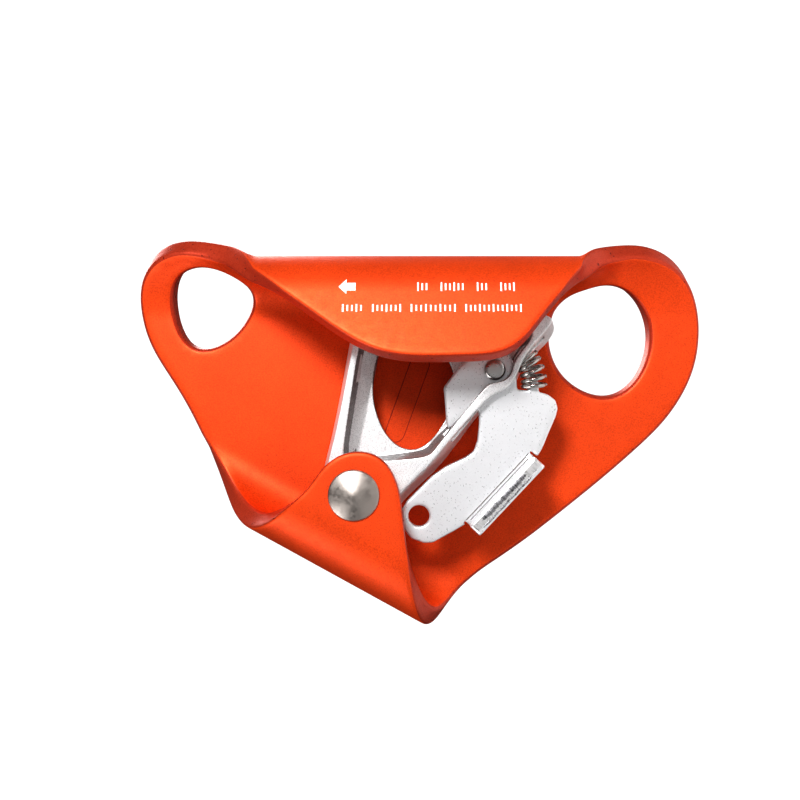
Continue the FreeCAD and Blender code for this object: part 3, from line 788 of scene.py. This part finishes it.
def turned_dome(radius, height, base, pitch, groove):
    """Profile from the rim of a low cone-like head to its centre, with fine turning grooves."""
    rows = []
    count = int(radius / pitch)
    for i in range(count):
        r = radius * (1 - (i + 0.5) / count)
        fall = (r / radius) ** 1.55
        rows.append((r, base + height * (1 - fall) + (groove if i % 2 else -groove)))
    return rows


turned("pivot_rivet_turned", PIVOT,
       [(3.3, RIVET_BACK - 1.3), (3.75, RIVET_BACK - 1.15), (4.0, RIVET_BACK - 0.7),
        (4.0, RIVET_BACK), (RIVET_RADIUS, RIVET_BACK), (RIVET_RADIUS, EAR_OUTER),
        (4.6, EAR_OUTER), (4.82, EAR_OUTER + 0.08), (4.85, EAR_OUTER + 0.22),
        (4.78, EAR_OUTER + 0.36)] + turned_dome(4.68, 1.45, EAR_OUTER + 0.45, 0.09, 0.005),
       RIVET_STEEL, "pivot_rivet", "frame")
turned("catch_pin_turned", CATCH_PIN,
       [(2.0, 1.2), (2.3, 1.5), (2.3, 2.4), (1.6, 2.4), (1.6, 10.5), (2.0, 10.5), (2.05, 10.65),
        (2.05, 11.2), (1.99, 11.42), (1.86, 11.6), (1.68, 11.7), (1.45, 11.76), (0.9, 11.79),
        (0.1, 11.8)],
       PIN_STEEL, "catch_pin", "cam")


# ---------------------------------------------------------------- springs
def bent_wire(name, points, wire, node):
    """Round spring wire along points in mm, standing for a CAD spring."""
    curve = bpy.data.curves.new(name, "CURVE")
    curve.dimensions = "3D"
    curve.bevel_depth = wire * MM
    curve.bevel_resolution = 4
    curve.use_fill_caps = True
    spline = curve.splines.new("POLY")
    spline.points.add(len(points) - 1)
    for place, point in zip(points, spline.points):
        point.co = (*(Vector(place) * MM), 1)
    holder = add(name + "_path", curve)
    bpy.context.view_layer.update()
    mesh = bpy.data.meshes.new_from_object(holder.evaluated_get(bpy.context.evaluated_depsgraph_get()))
    bpy.data.objects.remove(holder)
    mesh.materials.clear()
    mesh.materials.append(SPRING_STEEL)
    mesh.polygons.foreach_set("use_smooth", [True] * len(mesh.polygons))
    mesh.name = name
    piece = add(name, mesh)
    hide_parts(node)
    return piece


def coil_line(path, radius, turns):
    """Points of a coil along a gently bent path of three control points, its end turns closed."""
    a, b, c = (Vector(p) for p in path)
    count = int(turns * 36)
    points = []
    for i in range(count + 1):
        lie = i / count
        t = 0.6 * lie + 0.4 * (0.5 - 0.5 * math.cos(math.pi * lie))
        centre = (1 - t) ** 2 * a + 2 * t * (1 - t) * b + t * t * c
        axis = ((1 - t) * (b - a) + t * (c - b)).normalized()
        side = axis.cross(Vector((0, 1, 0))).normalized()
        turn = 2 * math.pi * turns * lie
        points.append(centre + (side * math.cos(turn) + axis.cross(side) * math.sin(turn)) * radius)
    return points


def spot(z, x, depth):
    return (x, -FRONT - depth, z)


spring_top = spot(15.2, -3.7, CATCH_MID)
spring_end = spot(13.7, -9.6, CATCH_MID)
catch_coil = bent_wire("catch_spring_coil",
                       coil_line((spring_top, spot(13.4, -6.4, CATCH_MID), spring_end), 2.2, 4.8), 0.43,
                       "catch_spring")
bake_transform(catch_coil)

# Torsion spring round the bush: a leg in the plate, three and a half turns, a leg in the cam.
HUB_TURNS, HUB_RADIUS, HUB_LOW, HUB_HIGH = 3.5, 4.85, 0.7, 4.4
HUB_LEG_IN_PLATE, HUB_LEG_IN_CAM = -2.5, 7.2
HUB_STEPS = 126
hub_line = [spot(PIVOT[0], PIVOT[1] + HUB_RADIUS, HUB_LEG_IN_PLATE)]
for i in range(HUB_STEPS + 1):
    a = 2 * math.pi * HUB_TURNS * i / HUB_STEPS
    hub_line.append(spot(PIVOT[0] - HUB_RADIUS * math.sin(a), PIVOT[1] + HUB_RADIUS * math.cos(a),
                         HUB_LOW + (HUB_HIGH - HUB_LOW) * i / HUB_STEPS))
hub_line.append(spot(PIVOT[0], PIVOT[1] - HUB_RADIUS, HUB_LEG_IN_CAM))
hub_coil = bent_wire("cam_spring_coil", hub_line, 0.5, "cam_spring")
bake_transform(hub_coil)

for node, material in (("pivot_bush", RIVET_STEEL), ("pivot_washer", RIVET_STEEL),
                       ("catch_pin_washer", RIVET_STEEL)):
    for material_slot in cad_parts[node].material_slots:
        material_slot.link = "OBJECT"
        material_slot.material = material

# ---------------------------------------------------------------- floor, light and camera
low, high = CAD_BOX
FLOOR_GAP = 0.060
FLOOR_RADIUS = 0.14
floor_z = low[2] - FLOOR_GAP
bm = bmesh.new()
bmesh.ops.create_circle(bm, cap_ends=True, segments=96, radius=FLOOR_RADIUS,
                        matrix=Matrix.Translation(((low[0] + high[0]) / 2, (low[1] + high[1]) / 2,
                                                   floor_z)))
floor_mesh = bpy.data.meshes.new("floor")
bm.to_mesh(floor_mesh)
bm.free()
floor = add("floor", floor_mesh)
floor_material, _, floor_shader = new_material("floor_pale")
floor_shader.inputs["Base Color"].default_value = (0.86, 0.86, 0.85, 1)
floor_shader.inputs["Roughness"].default_value = 0.7
floor_mesh.materials.append(floor_material)

scene = bpy.context.scene
world = bpy.data.worlds.new("studio")
scene.world = world
world.use_nodes = True
wt = world.node_tree
background = wt.nodes["Background"]
# The studio is dim below and brighter above, while the backdrop behind the object is plain white.
coord = wt.nodes.new("ShaderNodeTexCoord")
split = wt.nodes.new("ShaderNodeSeparateXYZ")
wt.links.new(coord.outputs["Generated"], split.inputs["Vector"])
sky = wt.nodes.new("ShaderNodeMapRange")
sky.inputs["From Min"].default_value = -0.6
sky.inputs["From Max"].default_value = 0.8
sky.inputs["To Min"].default_value = 0.04
sky.inputs["To Max"].default_value = 0.18
wt.links.new(split.outputs["X"], sky.inputs["Value"])
path = wt.nodes.new("ShaderNodeLightPath")
mix = wt.nodes.new("ShaderNodeMix")
mix.data_type = "FLOAT"
wt.links.new(path.outputs["Is Camera Ray"], mix.inputs[0])
wt.links.new(sky.outputs["Result"], mix.inputs[2])
mix.inputs[3].default_value = 1.0
wt.links.new(mix.outputs[0], background.inputs["Strength"])
background.inputs["Color"].default_value = (1, 1, 1, 1)


def soft_light(name, position, target, size, power):
    data = bpy.data.lights.new(name, "AREA")
    data.shape = "RECTANGLE"
    data.size, data.size_y = size
    data.energy = power
    lamp = bpy.data.objects.new(name, data)
    scene.collection.objects.link(lamp)
    lamp.location = position
    lamp.rotation_euler = (Vector(target) - Vector(position)).to_track_quat("-Z", "Y").to_euler()


centre = ((low[0] + high[0]) / 2, (low[1] + high[1]) / 2, (low[2] + high[2]) / 2)
# Name, place in metres, side of the square panel in metres, power in watts.
LIGHTS = (("key", (0.152, -0.270, 0.106), 0.085, 1.12),
          ("low_left", (-0.34, -0.18, 0.34), 0.25, 1.1),
          ("low_right", (-0.26, -0.20, -0.16), 0.36, 0.25),
          ("fill", (-0.05, -0.60, 0.02), 0.40, 0.16),
          ("rear", (0.25, 0.50, 0.30), 0.4, 2.6))
for name, position, side, power in LIGHTS:
    soft_light(name, position, centre, (side, side), power)

# The camera looks straight at the plate; its distance is judged from the perspective of the rings.
CAMERA_DISTANCE = 0.260
PX_PER_MM = 4.95
IMAGE_PX = 800
SENSOR_MM = 36.0
FOCAL_PX = PX_PER_MM * CAMERA_DISTANCE / MM
camera_data = bpy.data.cameras.new("camera")
camera_data.sensor_width = SENSOR_MM
camera_data.lens = FOCAL_PX * SENSOR_MM / IMAGE_PX
camera_data.shift_x = -30 / IMAGE_PX
camera_data.shift_y = 10 / IMAGE_PX
camera_data.clip_start = 0.01
camera_data.clip_end = 10.0
camera = bpy.data.objects.new("camera", camera_data)
scene.collection.objects.link(camera)
camera.matrix_world = Matrix(((0, 1, 0, -0.01374), (0, 0, -1, -FRONT * MM - CAMERA_DISTANCE),
                              (-1, 0, 0, 0.03394), (0, 0, 0, 1)))
scene.camera = camera
scene.view_settings.view_transform = "Standard"
scene.view_settings.look = "Medium High Contrast"
